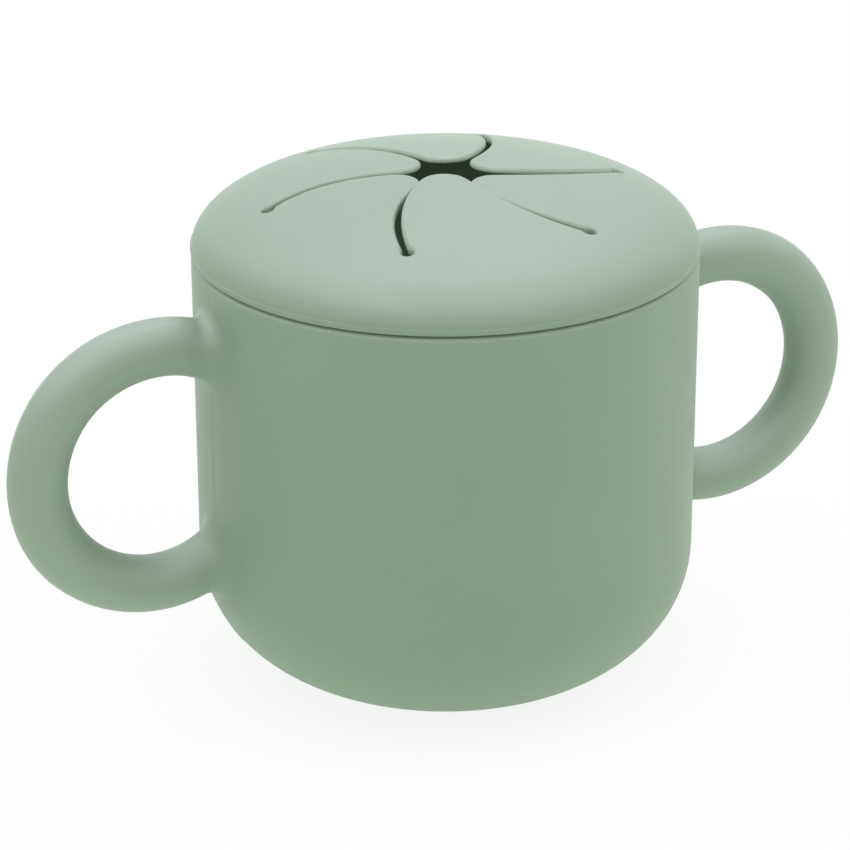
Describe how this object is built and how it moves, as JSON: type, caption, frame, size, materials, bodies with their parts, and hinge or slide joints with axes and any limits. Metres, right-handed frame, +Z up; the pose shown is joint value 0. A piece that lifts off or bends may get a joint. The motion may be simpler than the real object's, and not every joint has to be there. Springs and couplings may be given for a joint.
{
  "type": "toddler snack container",
  "caption": "Round soft cup with a ring handle on each side and a domed press-in lid, slit into flexing petals that let a small hand reach in and keep snacks from spilling.",
  "frame": {"origin": "centre of the flat base, on the surface the cup stands on", "axes": "+Z up through the cup and lid, +X towards the right handle, -Y towards the side that faces the viewer"},
  "size_m": [0.147, 0.0804, 0.0818],
  "materials": {
    "cup": "matte moulded silicone, sage green",
    "lid": "matte moulded silicone, sage green, softly domed"
  },
  "bodies": {
    "cup": {"cup_body": "cup", "handle_left": "cup", "handle_right": "cup"},
    "lid": {"lid_ring": "lid"},
    "petal_1": {"petal_1": "lid"},
    "petal_2": {"petal_2": "lid"},
    "petal_3": {"petal_3": "lid"},
    "petal_4": {"petal_4": "lid"},
    "petal_5": {"petal_5": "lid"},
    "petal_6": {"petal_6": "lid"}
  },
  "joints": [
    {"name": "lid_lift", "type": "slide", "parent": "cup", "child": "lid", "axis": [0, 0, 1], "range_m": [0, 0.045]},
    {"name": "petal_1_bend", "type": "hinge", "parent": "lid", "child": "petal_1", "pos_m": [0.02284, 0.01002, 0.07871], "axis": [0.4019, -0.9157, 0], "range_deg": [-40, 65], "stiffness_Nm_per_rad": 0.02},
    {"name": "petal_2_bend", "type": "hinge", "parent": "lid", "child": "petal_2", "pos_m": [0.00274, 0.02479, 0.07871], "axis": [0.994, -0.1097, 0], "range_deg": [-40, 65], "stiffness_Nm_per_rad": 0.02},
    {"name": "petal_3_bend", "type": "hinge", "parent": "lid", "child": "petal_3", "pos_m": [-0.0201, 0.01477, 0.07871], "axis": [0.592, 0.8059, 0], "range_deg": [-40, 65], "stiffness_Nm_per_rad": 0.02},
    {"name": "petal_4_bend", "type": "hinge", "parent": "lid", "child": "petal_4", "pos_m": [-0.02284, -0.01002, 0.07871], "axis": [-0.4019, 0.9157, 0], "range_deg": [-40, 65], "stiffness_Nm_per_rad": 0.02},
    {"name": "petal_5_bend", "type": "hinge", "parent": "lid", "child": "petal_5", "pos_m": [-0.00274, -0.02479, 0.07871], "axis": [-0.994, 0.1097, 0], "range_deg": [-40, 65], "stiffness_Nm_per_rad": 0.02},
    {"name": "petal_6_bend", "type": "hinge", "parent": "lid", "child": "petal_6", "pos_m": [0.0201, -0.01477, 0.07871], "axis": [-0.592, -0.8059, 0], "range_deg": [-40, 65], "stiffness_Nm_per_rad": 0.02}
  ]
}
